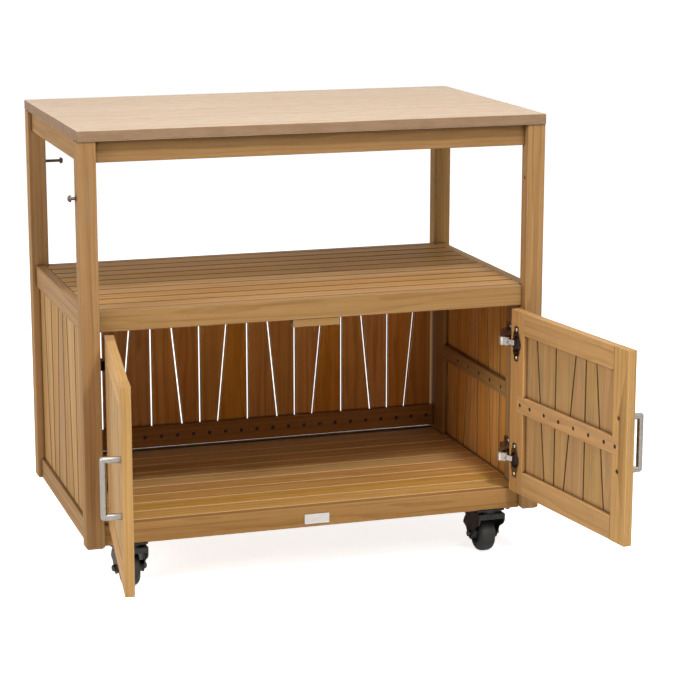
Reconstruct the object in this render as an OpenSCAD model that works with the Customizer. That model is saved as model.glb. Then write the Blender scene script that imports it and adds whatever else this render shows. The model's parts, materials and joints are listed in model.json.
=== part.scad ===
// Outdoor kitchen cabinet on casters, in millimetres.
// X runs to the right, Y to the back and Z up. The floor is at Z = 0 and the
// origin is under the middle of the whole object with its doors open.

/* [Carcass] */
// Width over the posts
body_w = 930; // [800:5:1100]
// Depth over the posts
body_d = 558; // [480:2:640]
// Height of the posts
post_h = 783; // [720:1:860]
// Width of a post seen from the front
post_w = 36; // [32:1:44]
// Depth of a post seen from the side
post_d = 31; // [28:1:34]
// Bevel round the foot of a post
foot_bevel = 4; // [2:0.5:6]
// Small bevel on every long edge of the timber
edge = 1.2; // [0.5:0.1:2]

/* [Rails] */
// Thickness of every rail
rail_t = 20; // [18:1:24]
// Front and back rails stand this far behind the face of the posts
front_set = 18; // [15:1:20]
// Side rails stand this far inside the face of the posts
side_set = 9; // [6:1:12]
// Height of the aprons under the worktop
apron_h = 40; // [30:1:60]
// Shadow gap between the aprons and the worktop
shadow_gap = 2; // [1:0.5:4]
// Height of the shelf rails at the front and back
shelf_rail_h = 40; // [36:1:50]
// Height of the shelf rails at the sides
side_rail_h = 45; // [38:1:55]
// Top of the shelf above the foot of the posts
shelf_z = 460; // [400:1:520]
// Height of the base rails
base_rail_h = 41; // [41:1:50]

/* [Worktop] */
// Worktop thickness
top_t = 21; // [16:1:30]
// Worktop overhang at the front and the back
top_over = 4; // [0:1:12]
// Rounding of the worktop edges
top_round = 3; // [1:0.5:5]

/* [Slats and boards] */
// Thickness of the shelf and floor slats
slat_t = 18; // [12:1:18]
// Number of shelf slats
shelf_slats_n = 10; // [6:1:12]
// Gap between shelf slats
shelf_gap = 4; // [2:0.5:7]
// Number of floor slats
floor_slats_n = 9; // [6:1:12]
// Gap between floor slats
floor_gap = 2; // [1:0.5:5]
// Height of the joists under the slats
joist_h = 22; // [14:1:22]
// Width of the joists under the slats
joist_w = 30; // [20:1:45]
// Distance of each joist from the middle
joist_x = 124; // [90:1:200]
// Width of the cleats under the ends of the slats
cleat_w = 20; // [14:1:24]
// Thickness of the side and back boards
board_t = 10; // [8:1:10]
// Side boards stand this far inside the face of the posts
side_board_set = 16; // [14:1:16]
// Back boards stand this far inside the back of the posts
back_board_set = 18; // [16:1:18]
// Gap between the back panel and the base rail
back_foot_gap = 8; // [0:0.5:10]
// Gap between the back panel and the posts
back_end_gap = 6; // [0:0.5:10]
// Pairs of boards in the back panel
back_pairs = 8; // [5:1:9]
// Pairs of boards in a side panel
side_pairs = 4; // [3:1:5]
// Gap between neighbouring boards
board_gap = 4; // [2:0.5:6]
// Half of the sideways run of a slanted joint
lean = 18; // [8:1:22]

/* [Battens and screws] */
// Thickness of the battens on the back
batten_t = 10; // [8:1:10]
// Width of the uprights that carry the hinges
upright_w = 66; // [60:1:72]
// Height of the back battens
back_batten_h = 46; // [34:1:50]
// Height of the side and door battens
batten_h = 33; // [24:1:40]
// Middle of the side battens above the foot of the posts
side_batten_z = 228; // [180:1:260]
// Radius of a screw head
screw_head_r = 3.6; // [2.8:0.1:4]
// Height of a screw head
screw_head_h = 2; // [1.5:0.1:2.5]
// Radius of a screw shank
screw_r = 1.7; // [1.2:0.1:2]
// Depth of the counterbore that a screw head sits in
sink = 3; // [2.5:0.1:3.5]
// Length of a screw in the board behind its batten
bite = 6; // [4:0.5:7]

/* [Doors] */
// How far the doors stand open
door_open = 98; // [60:1:98]
// Gap between a door and its post
side_gap = 2; // [1.5:0.1:3]
// Gap between the two closed doors
meet_gap = 4; // [3:0.1:6]
// Gap above and below a door
door_gap = 3.5; // [2:0.5:6]
// Door thickness
door_t = 17.5; // [17:0.1:17.5]
// Width of a door stile
stile_w = 50; // [46:1:60]
// Height of a door rail
door_rail_h = 46; // [36:1:60]
// Thickness of the door boards
panel_t = 7; // [6:0.5:7.5]
// Door boards stand this far behind the front of the door
panel_set = 1.5; // [1:0.5:2]
// Depth of the groove that holds the boards
groove = 5; // [3:0.5:8]
// Pairs of boards in a door
door_pairs = 3; // [2:1:4]
// Gap between the door boards
door_board_gap = 2.5; // [1.5:0.5:4]
// How far the door batten is let into each stile
batten_let = 22; // [16:1:30]
// Middle of the door batten above the bottom of the door
door_batten_z = 183; // [160:1:200]

/* [Handles] */
// Distance between the legs of a handle
handle_pitch = 102; // [64:1:128]
// Diameter of the handle bar
handle_d = 12; // [8:0.5:14]
// Reach of a handle from the door
handle_reach = 37; // [32:1:46]
// Middle of the handle from the free edge of the door
handle_in = 30; // [24:1:34]
// Middle of the handle above the bottom of the door
handle_z = 188; // [160:1:210]

/* [Hinges] */
// Height of the upper hinges above the bottom of the door
hinge_high = 305; // [270:1:315]
// Height of the lower hinges above the bottom of the door
hinge_low = 66; // [55:1:100]
// Turning centre of a door from the inner face of its post
pivot_in = 9.4; // [9:0.1:9.8]
// Turning centre of a door behind the face of the posts
pivot_back = 1; // [0.8:0.1:1.2]
// Radius of the cup sunk in the door
cup_r = 17.5; // [17.4:0.1:18]
// Depth of the cup
cup_depth = 13; // [12.5:0.1:13.5]
// Middle of the cup from the edge of the door
cup_in = 22; // [21.8:0.1:22.2]
// Height of the wings of the cup
wing_h = 70; // [58:1:74]
// Width of the wings of the cup
wing_w = 24; // [16:1:25]
// Height of the hinge arm
arm_h = 20; // [18:0.5:21]
// Length of the hinge link
link_len = 29; // [28.6:0.1:29.2]
// Pin of the hinge arm from the turning centre, towards the middle
pin_in = 31.2; // [31:0.1:31.4]
// Pin of the hinge arm from the turning centre, towards the back
pin_back = 19.9; // [19.7:0.1:20.1]
// Foot of the hinge arm behind the post
foot_gap = 19; // [16:1:21]
// Length of the foot of the hinge arm
foot_len = 45; // [38:1:46]

/* [Link bolts] */
// Height of the link bolts below the top of the posts
link_drop = 106; // [70:1:180]
// Radius of the link holes
link_hole_r = 3.3; // [3.2:0.1:5]
// Play between a link bolt and its hole
link_play = 0.3; // [0.1:0.05:0.5]
// Radius of the head of a link bolt
link_head_r = 6.5; // [6.5:0.1:9]
// How far the back bolt reaches into the shelf bay
link_reach = 35; // [20:1:50]

/* [Casters] */
// Height of a caster
caster_h = 98; // [98:1:104]
// Caster axis from the side of the posts
caster_in_x = 95; // [85:1:110]
// Caster axis from the face of the posts
caster_in_y = 33; // [33:1:45]
// Wheel radius
wheel_r = 37.5; // [34:0.5:38]
// Width of the tyre
tyre_w = 34; // [28:1:38]
// Width of the hub
hub_w = 50; // [46:0.5:54]
// Distance from the swivel axis to the axle
trail = 30; // [24:0.5:32]
// Radius of the axle
axle_r = 4; // [3:0.5:6]
// Thickness of the fork
fork_t = 2.5; // [2:0.1:3.5]
// Size of the square plate
plate_w = 58; // [56:1:64]
// Thickness of the plate
plate_t = 3; // [2:0.5:4]
// Distance between the plate screws
plate_pitch = 44; // [42:1:46]
// Space between the floor slats and the blocks that carry the casters
block_gap = 0; // [0:0.5:3]
// Length of the brake pedal
pedal_l = 26; // [18:1:32]

/* [Hidden] */
$fn = 48;

WOOD = [0.70, 0.52, 0.34];
PALE = [0.78, 0.62, 0.44];
STONE = [0.86, 0.76, 0.66];
STEEL = [0.78, 0.76, 0.73];
DARK = [0.30, 0.29, 0.28];
BLACK = [0.14, 0.13, 0.12];

// Running clearance round a pin, and the space between parts that pass
pin_play = 0.06;
pass = 0.3;

inner_w = body_w - 2 * post_w;
half_w = body_w / 2;
rail_back = front_set + rail_t;
rail_in = half_w - side_set - rail_t;
board_face = half_w - side_board_set - board_t;
back_face = body_d - back_board_set - board_t;
side_layer = post_w - side_board_set - board_t;
panel_top = shelf_z - shelf_rail_h;
block_t = base_rail_h - slat_t - block_gap;
back_foot = base_rail_h + back_foot_gap;
link_z = post_h - link_drop;

stop_play = 0.5;
door_set = front_set - stop_play - door_t;
door_w = (inner_w - 2 * side_gap - meet_gap) / 2;
door_h = panel_top - base_rail_h - 2 * door_gap;
door_x = side_gap - inner_w / 2;
door_z = base_rail_h + door_gap;
panel_w = door_w - 2 * stile_w;
panel_h = door_h - 2 * door_rail_h;
panel_back = panel_set + panel_t;
batten_len = panel_w + 2 * batten_let;
handle_x = door_w - handle_in;
pivot_x = pivot_in - inner_w / 2;
// Angles of the right door mirror those of the left door
swing_x = door_x + door_w - pivot_x;
swing_y = door_set + door_t - pivot_back;
door_front = pivot_back - swing_x * sin(door_open)
    + (swing_y - edge) * cos(door_open);

// Pin between hinge arm and link, from the inner face of the post and from
// the front of the posts, and the angles of the link about it
arm_pin_in = pivot_in + pin_in;
arm_pin_back = pivot_back + pin_back;
arm_pin_r = 1.6;
arm_eye_r = 3;
link_t = 2;
link_h = 10;
link_shut = 190;
link_share = 0.5;
cheek_t = 2;
hinge_levels = [hinge_low, hinge_high];

// Levels in a caster, from the floor
axle_z = wheel_r;
hood_in = wheel_r + 2;
hood_out = hood_in + fork_t;
crown_low = axle_z + hood_in + 2;
crown_high = caster_h - plate_t - 5.5;
race_high = crown_high + 1.5;
tyre_round = 12;
king_r = 5;
race_r = 17;
crown_back = 22;
rim_r = wheel_r - tyre_round - 3.5;
fork_in = hub_w / 2 + pass;
fork_out = fork_in + fork_t;
hood_low = 18;
hood_back = body_d - caster_in_y + trail + hood_out * cos(hood_low);
ear_y = trail + (hood_out + 5) * sin(35);
ear_z = axle_z + (hood_out + 5) * cos(35);

// The object reaches from the open doors to the hoods of the back casters
front_y = -(door_front + hood_back) / 2;

// Everything on the carcass is drawn from the foot of the posts
module carcass() translate([0, front_y, caster_h]) children();

module both_sides() {
    children();
    mirror([1, 0, 0]) children();
}

module bevelled(w, h, c = edge)
    polygon([[c, 0], [w - c, 0], [w, c], [w, h - c],
             [w - c, h], [c, h], [0, h - c], [0, c]]);

// Timber with its long edges bevelled, from one corner of its box
module timber_x(size)
    rotate([90, 0, 90]) linear_extrude(size[0]) bevelled(size[1], size[2]);

module timber_y(size)
    translate([0, size[1], 0]) rotate([90, 0, 0])
        linear_extrude(size[1]) bevelled(size[0], size[2]);

module timber_z(size)
    linear_extrude(size[2]) bevelled(size[0], size[1]);

module round_rect(w, h, r) {
    translate([-w / 2 + r, -h / 2]) square([w - 2 * r, h]);
    translate([-w / 2, -h / 2 + r]) square([w, h - 2 * r]);
    for (x = [-1, 1], y = [-1, 1])
        translate([x * (w / 2 - r), y * (h / 2 - r)]) circle(r);
}

// Upright pairs of boards in the XZ plane, each pair split by a slanted
// joint. The end boards reach past the panel by ends, all boards by tails.
module board_pairs(w, h, t, n, gap, first, ends, tails) {
    pair = w / n;
    slope = 2 * lean / h;
    low = -tails;
    high = h + tails;
    translate([0, t, 0]) rotate([90, 0, 0]) linear_extrude(t)
        for (i = [0 : n - 1]) {
            way = first * (i % 2 == 0 ? 1 : -1);
            x0 = i == 0 ? -ends : i * pair + gap / 2;
            x1 = i == n - 1 ? w + ends : (i + 1) * pair - gap / 2;
            mid = (i + 0.5) * pair;
            at_low = mid + way * slope * (low - h / 2);
            at_high = mid + way * slope * (high - h / 2);
            polygon([[x0, low], [at_low - gap / 2, low],
                     [at_high - gap / 2, high], [x0, high]]);
            polygon([[at_low + gap / 2, low], [x1, low],
                     [x1, high], [at_high + gap / 2, high]]);
        }
}

function spread(w, n) = [for (i = [0 : n - 1]) (i + 0.5) * w / n];

// Counterbored hole for a screw that enters along +Y at the origin
module screw_hole(depth) {
    translate([0, -1, 0]) rotate([-90, 0, 0])
        cylinder(r = screw_head_r + 0.6, h = sink + 1);
    rotate([-90, 0, 0]) cylinder(r = screw_r + 0.2, h = depth + 1);
}

module screw(depth) {
    translate([0, sink - screw_head_h, 0]) rotate([-90, 0, 0])
        cylinder(r = screw_head_r, h = screw_head_h);
    translate([0, sink, 0]) rotate([-90, 0, 0])
        cylinder(r = screw_r, h = depth - sink);
}

module worktop() color(STONE) carcass()
    translate([0, body_d / 2, post_h]) intersection() {
        depth = body_d + 2 * top_over;
        linear_extrude(top_t) round_rect(body_w, depth, top_round);
        translate([0, depth / 2, top_t / 2]) rotate([90, 0, 0])
            linear_extrude(depth) round_rect(body_w, top_t, top_round);
        translate([-half_w, 0, top_t / 2]) rotate([90, 0, 90])
            linear_extrude(body_w) round_rect(depth, top_t, top_round);
    }

// A post from its outer front corner, with its link hole
module post(link_y) difference() {
    timber_z([post_w, post_d, post_h]);
    for (a = [0 : 3])
        translate([post_w / 2, post_d / 2, 0]) rotate([0, 0, 90 * a])
            translate([0, (a % 2 == 0 ? post_d : post_w) / 2, 0])
                rotate([45, 0, 0])
                    cube([2 * post_w, foot_bevel * sqrt(2),
                          foot_bevel * sqrt(2)], center = true);
    translate([-1, link_y, link_z]) rotate([0, 90, 0])
        cylinder(r = link_hole_r, h = post_w + 2);
}

module left_post(y) color(WOOD) carcass()
    translate([-half_w, y, 0]) post(post_d / 2);

module right_post(y) color(WOOD) carcass()
    translate([half_w - post_w, y, 0]) post(post_d / 2);

module front_left_post() left_post(0);
module front_right_post() right_post(0);
module rear_left_post() left_post(body_d - post_d);
module rear_right_post() right_post(body_d - post_d);

// Rail between two posts at the front (y = front_set) or the back
module long_rail(y, z, h) color(WOOD) carcass()
    translate([-inner_w / 2, y, z]) timber_x([inner_w, rail_t, h]);

// Pair of rails between the posts of each side
module side_rails(z, h) color(WOOD) carcass() both_sides()
    translate([rail_in, post_d, z])
        timber_y([rail_t, body_d - 2 * post_d, h]);

rear_rail_y = body_d - rail_back;
apron_z = post_h - shadow_gap - apron_h;
module front_apron() long_rail(front_set, apron_z, apron_h);
module rear_apron() long_rail(rear_rail_y, apron_z, apron_h);
module side_aprons() side_rails(apron_z, apron_h);
module front_shelf_rail() long_rail(front_set, panel_top, shelf_rail_h);
module rear_shelf_rail() long_rail(rear_rail_y, panel_top, shelf_rail_h);
module side_shelf_rails() side_rails(shelf_z - side_rail_h, side_rail_h);
module front_base_rail() long_rail(front_set, 0, base_rail_h);
module rear_base_rail() long_rail(rear_rail_y, 0, base_rail_h);
module side_base_rails() side_rails(0, base_rail_h);

// Slats that run from side to side, flush with the rails round them
module slats(n, gap, z) color(PALE) carcass() {
    pitch = (rear_rail_y - rail_back) / n;
    for (i = [0 : n - 1])
        translate([-rail_in, rail_back + i * pitch + gap / 2, z - slat_t])
            timber_x([2 * rail_in, pitch - gap, slat_t]);
}

// Two joists across the deck and a cleat along each side rail, which stops
// short of the ends by margin
module joists(z, margin) color(WOOD) carcass() both_sides() {
    translate([joist_x - joist_w / 2, rail_back, z - joist_h])
        timber_y([joist_w, rear_rail_y - rail_back, joist_h]);
    translate([rail_in - cleat_w, rail_back + margin, z - joist_h])
        timber_y([cleat_w, rear_rail_y - rail_back - 2 * margin, joist_h]);
}

module shelf_slats() slats(shelf_slats_n, shelf_gap, shelf_z);
module shelf_joists() joists(shelf_z - slat_t, 0);
module floor_slats() slats(floor_slats_n, floor_gap, base_rail_h);
module floor_joists() joists(base_rail_h - slat_t, block_d);

// Side boards stand between the base rail and the shelf rail
module side_panel() {
    h = shelf_z - side_rail_h - base_rail_h;
    translate([-board_face, post_d, base_rail_h]) rotate([0, 0, 90])
        board_pairs(body_d - 2 * post_d, h, board_t, side_pairs,
                    board_gap, -1, 0, 0);
}

module left_boards() color(PALE) carcass() side_panel();
module right_boards() color(PALE) carcass()
    mirror([1, 0, 0]) side_panel();

module back_boards() color(PALE) carcass() {
    translate([-inner_w / 2, back_face, back_foot])
        board_pairs(inner_w, panel_top - back_foot, board_t, back_pairs,
                    board_gap, -1, -back_end_gap, 0);
}

// Battens on the inside of the panels, one screw to each board. The end
// boards of the sides lie behind the uprights.
side_spread = spread(body_d - 2 * post_d, 2 * side_pairs);
side_screws = [for (y = side_spread)
    if (y > upright_w + 6 && y < body_d - 2 * post_d - upright_w - 6) y];
back_screws = spread(inner_w, 3 * back_pairs);
back_batten_z = [back_foot, panel_top - back_batten_h];

module at_side_screws()
    for (y = side_screws)
        translate([-board_face + side_layer, post_d + y, side_batten_z])
            rotate([0, 0, 90]) children();

module at_back_screws()
    for (x = back_screws, z = back_batten_z)
        translate([x - inner_w / 2, back_face - batten_t,
                   z + back_batten_h / 2]) children();

module side_uprights() color(WOOD) carcass() both_sides()
    for (y = [post_d, body_d - post_d - upright_w])
        translate([-board_face, y, base_rail_h])
            timber_z([side_layer, upright_w,
                      shelf_z - side_rail_h - base_rail_h]);

module side_battens() color(WOOD) carcass() both_sides() difference() {
    translate([-board_face, post_d + upright_w, side_batten_z - batten_h / 2])
        timber_y([side_layer, body_d - 2 * (post_d + upright_w), batten_h]);
    at_side_screws() screw_hole(side_layer);
}

module back_battens() color(WOOD) carcass() difference() {
    for (z = back_batten_z)
        translate([-inner_w / 2, back_face - batten_t, z])
            timber_x([inner_w, batten_t, back_batten_h]);
    at_back_screws() screw_hole(batten_t);
}

module panel_screws() color(DARK) carcass() {
    both_sides() at_side_screws() screw(side_layer + bite);
    at_back_screws() screw(batten_t + bite);
}

// Stop block under the front shelf rail, met by both doors
stop_w = 93;
stop_drop = 15;
stop_depth = 30;
module door_stop() color(WOOD) carcass()
    translate([-stop_w / 2, front_set, panel_top - stop_drop])
        timber_x([stop_w, stop_depth, stop_drop]);

// Plain metal plate on the front base rail
blank_w = 51;
blank_h = 20;
blank_t = 1.2;
module blank_plate() color(STEEL) carcass()
    translate([0, front_set, base_rail_h * 0.4]) rotate([90, 0, 0])
        linear_extrude(blank_t) round_rect(blank_w, blank_h, 1.5);

// Bolts that lie ready in the left posts to link a second cabinet
link_head_t = 3;
link_proud = 13;
link_collar = 1.5;
module link_bolts() color(STEEL) carcass()
    translate([-half_w, 0, link_z]) rotate([0, 90, 0]) {
        bolt_r = link_hole_r - link_play;
        translate([0, post_d / 2, -link_proud]) {
            cylinder(r = bolt_r, h = post_w + link_proud);
            cylinder(r = link_head_r, h = link_head_t);
            translate([0, 0, link_proud - link_collar])
                cylinder(r = bolt_r + 1.5, h = link_collar);
        }
        translate([0, body_d - post_d / 2, 0]) {
            cylinder(r = bolt_r, h = post_w + link_reach);
            translate([0, 0, post_w + link_reach - link_head_t])
                cylinder(r = link_head_r, h = link_head_t);
            translate([0, 0, post_w])
                cylinder(r = bolt_r + 1.5, h = link_collar);
        }
    }

// Hinge arm from its plate on the upright to its pin, for the left side with
// X from the inner face of the post and Y from the front of the posts
foot_front = post_d + foot_gap;
foot_back = foot_front + foot_len;
module arm_outline() {
    polygon([[1, foot_back - 3], [1, foot_front + 4], [8, foot_front - 5],
             [arm_pin_in - 11, arm_pin_back + 10],
             [arm_pin_in - 2.4, arm_pin_back - 1.8],
             [arm_pin_in + 2.8, arm_pin_back + 1],
             [arm_pin_in - 1, arm_pin_back + 14],
             [16, foot_front + 12], [13, foot_front + 18],
             [13, foot_back - 3]]);
    translate([arm_pin_in, arm_pin_back]) circle(arm_eye_r, $fn = 32);
}

// Web that joins the two cheeks of the arm on the cabinet side
module arm_web()
    polygon([[arm_pin_in - 1, arm_pin_back + 14], [16, foot_front + 12],
             [13, foot_front + 18], [13, foot_back - 3], [11.4, foot_back - 3],
             [11.4, foot_front + 17], [14.4, foot_front + 11],
             [arm_pin_in - 2.8, arm_pin_back + 13]]);

module hinge_arm() {
    for (z = [-arm_h / 2, arm_h / 2 - cheek_t])
        translate([0, 0, z]) linear_extrude(cheek_t) arm_outline();
    translate([0, 0, -arm_h / 2]) linear_extrude(arm_h) arm_web();
    translate([arm_pin_in, arm_pin_back, -arm_h / 2])
        cylinder(r = arm_pin_r, h = arm_h, $fn = 32);
    translate([0, (foot_front + foot_back) / 2, 0]) rotate([0, 90, 0])
        linear_extrude(2) round_rect(2.2 * arm_h, foot_back - foot_front, 4);
}

module hinge_arms() color(STEEL) carcass() both_sides()
    for (z = hinge_levels)
        translate([-inner_w / 2, 0, door_z + z]) hinge_arm();

// Moving links of the hinges, turned to suit the open door: a box round the
// pin of the arm and a strip that reaches into the cup
box_h = arm_h - 2 * cheek_t - 2 * pass;
module hinge_links() color(STEEL) carcass()
    for (z = hinge_levels)
        translate([arm_pin_in - inner_w / 2, arm_pin_back, door_z + z])
            rotate([0, 0, link_shut + link_share * door_open]) difference() {
                union() {
                    translate([0, 0, -box_h / 2]) linear_extrude(box_h) {
                        circle(arm_eye_r, $fn = 32);
                        translate([-3, -5.5]) square([18, 6.5]);
                    }
                    translate([0, 0, -link_h / 2]) linear_extrude(link_h) {
                        translate([10, -link_t / 2]) square([link_len - 10, link_t]);
                        translate([link_len, 0]) circle(0.7 * link_t);
                    }
                }
                translate([0, 0, -arm_h]) cylinder(r = arm_pin_r + pin_play,
                                                   h = 2 * arm_h, $fn = 32);
            }

module left_hinge_links() hinge_links();
module right_hinge_links() mirror([1, 0, 0]) hinge_links();

// A left door is drawn closed, from its hinged lower front corner, and
// turned about its turning centre
module left_door() carcass()
    translate([pivot_x, pivot_back, 0]) rotate([0, 0, -door_open])
        translate([door_x - pivot_x, door_set - pivot_back, door_z])
            children();

module right_door() mirror([1, 0, 0]) left_door() children();

module panel_space()
    translate([stile_w - groove, panel_set, door_rail_h - groove])
        cube([panel_w + 2 * groove, panel_t, panel_h + 2 * groove]);

module batten_space()
    translate([stile_w - batten_let, panel_back, door_batten_z - batten_h / 2])
        cube([batten_len, door_t, batten_h]);

door_screw_x = concat([-batten_let / 2], spread(panel_w, 2 * door_pairs),
                      [panel_w + batten_let / 2]);

module at_door_screws()
    for (x = door_screw_x)
        translate([stile_w + x, door_t, door_batten_z])
            rotate([0, 0, 180]) children();

handle_sink = 8;
module at_handle_screws()
    for (z = [-1, 1])
        translate([handle_x, door_t, handle_z + z * handle_pitch / 2])
            rotate([90, 0, 0]) children();

module hinge_stile() color(WOOD) difference() {
    timber_z([stile_w, door_t, door_h]);
    panel_space();
    batten_space();
    for (z = hinge_levels)
        translate([cup_in, door_t + 1, z]) rotate([90, 0, 0])
            cylinder(r = cup_r + 0.1, h = cup_depth + 1);
}

module free_stile() color(WOOD) difference() {
    translate([door_w - stile_w, 0, 0]) timber_z([stile_w, door_t, door_h]);
    panel_space();
    batten_space();
    at_handle_screws() {
        translate([0, 0, -1]) cylinder(r = 4.6, h = handle_sink + 1);
        cylinder(r = screw_r + 0.4, h = door_t + 1);
    }
}

module door_rails() color(WOOD) difference() {
    for (z = [0, door_h - door_rail_h])
        translate([stile_w, 0, z]) timber_x([panel_w, door_t, door_rail_h]);
    panel_space();
}

module door_boards() color(PALE)
    translate([stile_w, panel_set, door_rail_h])
        board_pairs(panel_w, panel_h, panel_t, door_pairs,
                    door_board_gap, -1, groove, groove);

module door_batten() color(WOOD) difference() {
    translate([stile_w - batten_let, panel_back, door_batten_z - batten_h / 2])
        cube([batten_len, door_t - panel_back, batten_h]);
    at_door_screws() screw_hole(door_t - panel_back);
}

module door_screws() color(DARK) {
    at_door_screws() screw(door_t - panel_back + 0.6 * bite);
    at_handle_screws() {
        translate([0, 0, handle_sink - 3]) cylinder(r = 4, h = 3);
        translate([0, 0, handle_sink]) cylinder(r = screw_r, h = door_t - handle_sink);
    }
}

// D handle of round bar with tight corners, on the front face of the door
module handle() color(STEEL) {
    r = handle_d / 2;
    reach = handle_reach - r;
    translate([handle_x, 0, handle_z]) {
        translate([0, -reach, 0]) rotate_extrude() intersection() {
            union() {
                translate([-r, -handle_pitch / 2]) square([2 * r, handle_pitch]);
                for (z = [-1, 1]) translate([0, z * handle_pitch / 2]) circle(r);
            }
            translate([0, -handle_pitch]) square([2 * r, 2 * handle_pitch]);
        }
        for (z = [-1, 1])
            translate([0, -reach, z * handle_pitch / 2])
                rotate([-90, 0, 0]) cylinder(r = r - 0.05, h = reach);
    }
}

// Cup sunk in the inner face of the door, with its wings on the face
wing_t = 1.2;
module wings() {
    w = wing_w / 2;
    h = wing_h / 2;
    for (s = [-1, 1])
        polygon([[-w, 0], [w, 0], [w, 0.5 * s * h], [0.62 * w, 0.75 * s * h],
                 [0.62 * w, s * (h - 2)], [0.62 * w - 2, s * h],
                 [2 - 0.62 * w, s * h], [-0.62 * w, s * (h - 2)],
                 [-0.62 * w, 0.75 * s * h], [-w, 0.5 * s * h]]);
}

module hinge_cups() color(STEEL)
    for (z = hinge_levels)
        translate([cup_in, door_t, z]) rotate([90, 0, 0]) difference() {
            union() {
                translate([0, 0, -wing_t]) linear_extrude(wing_t) wings();
                cylinder(r = cup_r, h = cup_depth - 0.1);
            }
            translate([0, 0, -wing_t - 1])
                cylinder(r = cup_r - 0.9, h = cup_depth + wing_t);
        }

module left_hinge_stile() left_door() hinge_stile();
module left_free_stile() left_door() free_stile();
module left_door_rails() left_door() door_rails();
module left_door_boards() left_door() door_boards();
module left_door_batten() left_door() door_batten();
module left_door_screws() left_door() door_screws();
module left_handle() left_door() handle();
module left_hinge_cups() left_door() hinge_cups();
module right_hinge_stile() right_door() hinge_stile();
module right_free_stile() right_door() free_stile();
module right_door_rails() right_door() door_rails();
module right_door_boards() right_door() door_boards();
module right_door_batten() right_door() door_batten();
module right_door_screws() right_door() door_screws();
module right_handle() right_door() handle();
module right_hinge_cups() right_door() hinge_cups();

// Casters stand with their swivel axes at these places
caster_x = half_w - caster_in_x;
module caster_at(x, back) translate([x * caster_x, front_y
    + (back ? body_d - caster_in_y : caster_in_y), 0]) children();

// Plates of the back casters mirror those of the front ones
module at_all_plates()
    for (x = [-1, 1], back = [false, true])
        caster_at(x, back) mirror([0, back ? 1 : 0, 0])
            mirror([x < 0 ? 1 : 0, 0, 0]) children();

block_w = 90;
block_d = 84;
module caster_blocks() color(WOOD) carcass() both_sides()
    for (y = [rail_back, rear_rail_y - block_d])
        translate([rail_in - block_w, y, 0]) cube([block_w, block_d, block_t]);

// One row of plate screws enters the rail, the other row the block
rail_row = front_set + rail_t / 2 - caster_in_y;
block_row = plate_pitch / 2;
module at_plate_screws()
    for (x = [-1, 1], y = [rail_row, block_row])
        translate([x * plate_pitch / 2, y, caster_h - plate_t])
            children();

plate_screw_r = 2.8;
rail_screw_x = plate_w / 2 + 11;
module caster_plates() color(STEEL) at_all_plates() {
    difference() {
        translate([0, (plate_w / 2 - race_r) / 2, caster_h - plate_t])
            linear_extrude(plate_t)
                round_rect(plate_w, plate_w / 2 + race_r, 4);
        at_plate_screws() translate([0, 0, -1])
            cylinder(r = plate_screw_r + 0.3, h = plate_t + 2);
    }
    translate([0, 0, race_high + pass])
        cylinder(r = race_r, h = caster_h - plate_t - race_high - pass);
    translate([0, 0, crown_low - pass - 1])
        cylinder(r = king_r, h = race_high + 2 * pass - crown_low + 1);
    translate([0, 0, crown_low - pass - 4]) cylinder(r = 7.5, h = 4);
}

module caster_screws() color(DARK) at_all_plates() {
    at_plate_screws() {
        translate([0, 0, -3]) cylinder(r = 4.5, h = 3);
        cylinder(r = plate_screw_r, h = plate_t + 16);
    }
    translate([rail_screw_x, rail_row, caster_h]) {
        translate([0, 0, -3]) cylinder(r = 5, h = 3);
        cylinder(r = plate_screw_r, h = 16);
    }
}

// Side outline of a fork, with Y and Z as its plane
module fork_side(ear) {
    polygon([[-crown_back, crown_high], [trail + 14, crown_high],
             [trail + 24, crown_low - 5], [trail + 24, axle_z + 8],
             [trail + 13, axle_z - 6], [trail - 10, axle_z - 6],
             [trail - 25, axle_z + 18], [-16, crown_low - 12],
             [-crown_back, crown_low - 3]]);
    translate([trail, axle_z]) circle(12);
    translate([trail, axle_z]) intersection() {
        circle(hood_out - 0.5);
        hood_sector();
    }
    if (ear) {
        translate([ear_y, ear_z]) circle(5);
        polygon([[trail + 6, crown_high - 1], [ear_y + 2, ear_z + 4.6],
                 [ear_y + 4.6, ear_z - 2], [trail + 20, crown_low - 8]]);
    }
}

module hood_sector()
    polygon([[0, 0], [-hood_out * sin(20), hood_out * 1.2],
             [hood_out * 1.6, hood_out * 1.2],
             [hood_out * 1.6, hood_out * 1.6 * tan(hood_low)]]);

module hood_band() intersection() {
    difference() {
        circle(hood_out);
        circle(hood_in);
    }
    hood_sector();
}

module fork(ear) color(BLACK) difference() {
    union() {
        for (x = [-fork_out, fork_in])
            translate([x, 0, 0]) rotate([90, 0, 90])
                linear_extrude(fork_t) fork_side(ear);
        translate([0, trail, axle_z]) translate([-fork_out, 0, 0])
            rotate([90, 0, 90]) linear_extrude(2 * fork_out) hood_band();
        translate([-fork_out, -crown_back, crown_low])
            cube([2 * fork_out, crown_back + trail + 12, crown_high - crown_low]);
        translate([0, 0, crown_high - 1]) cylinder(r = race_r, h = race_high - crown_high + 1);
        translate([-fork_out - 3, trail, axle_z]) rotate([0, 90, 0]) {
            cylinder(r = axle_r, h = 2 * fork_out + 6);
            cylinder(r = axle_r + 3, h = 3);
        }
        translate([fork_out, trail, axle_z]) rotate([0, 90, 0])
            cylinder(r = axle_r + 3, h = 3);
        if (ear) translate([-fork_out, ear_y, ear_z]) rotate([0, 90, 0])
            cylinder(r = arm_pin_r, h = 2 * fork_out, $fn = 32);
    }
    translate([0, 0, crown_low - 1])
        cylinder(r = king_r + pin_play, h = race_high - crown_low + 2);
}

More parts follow.
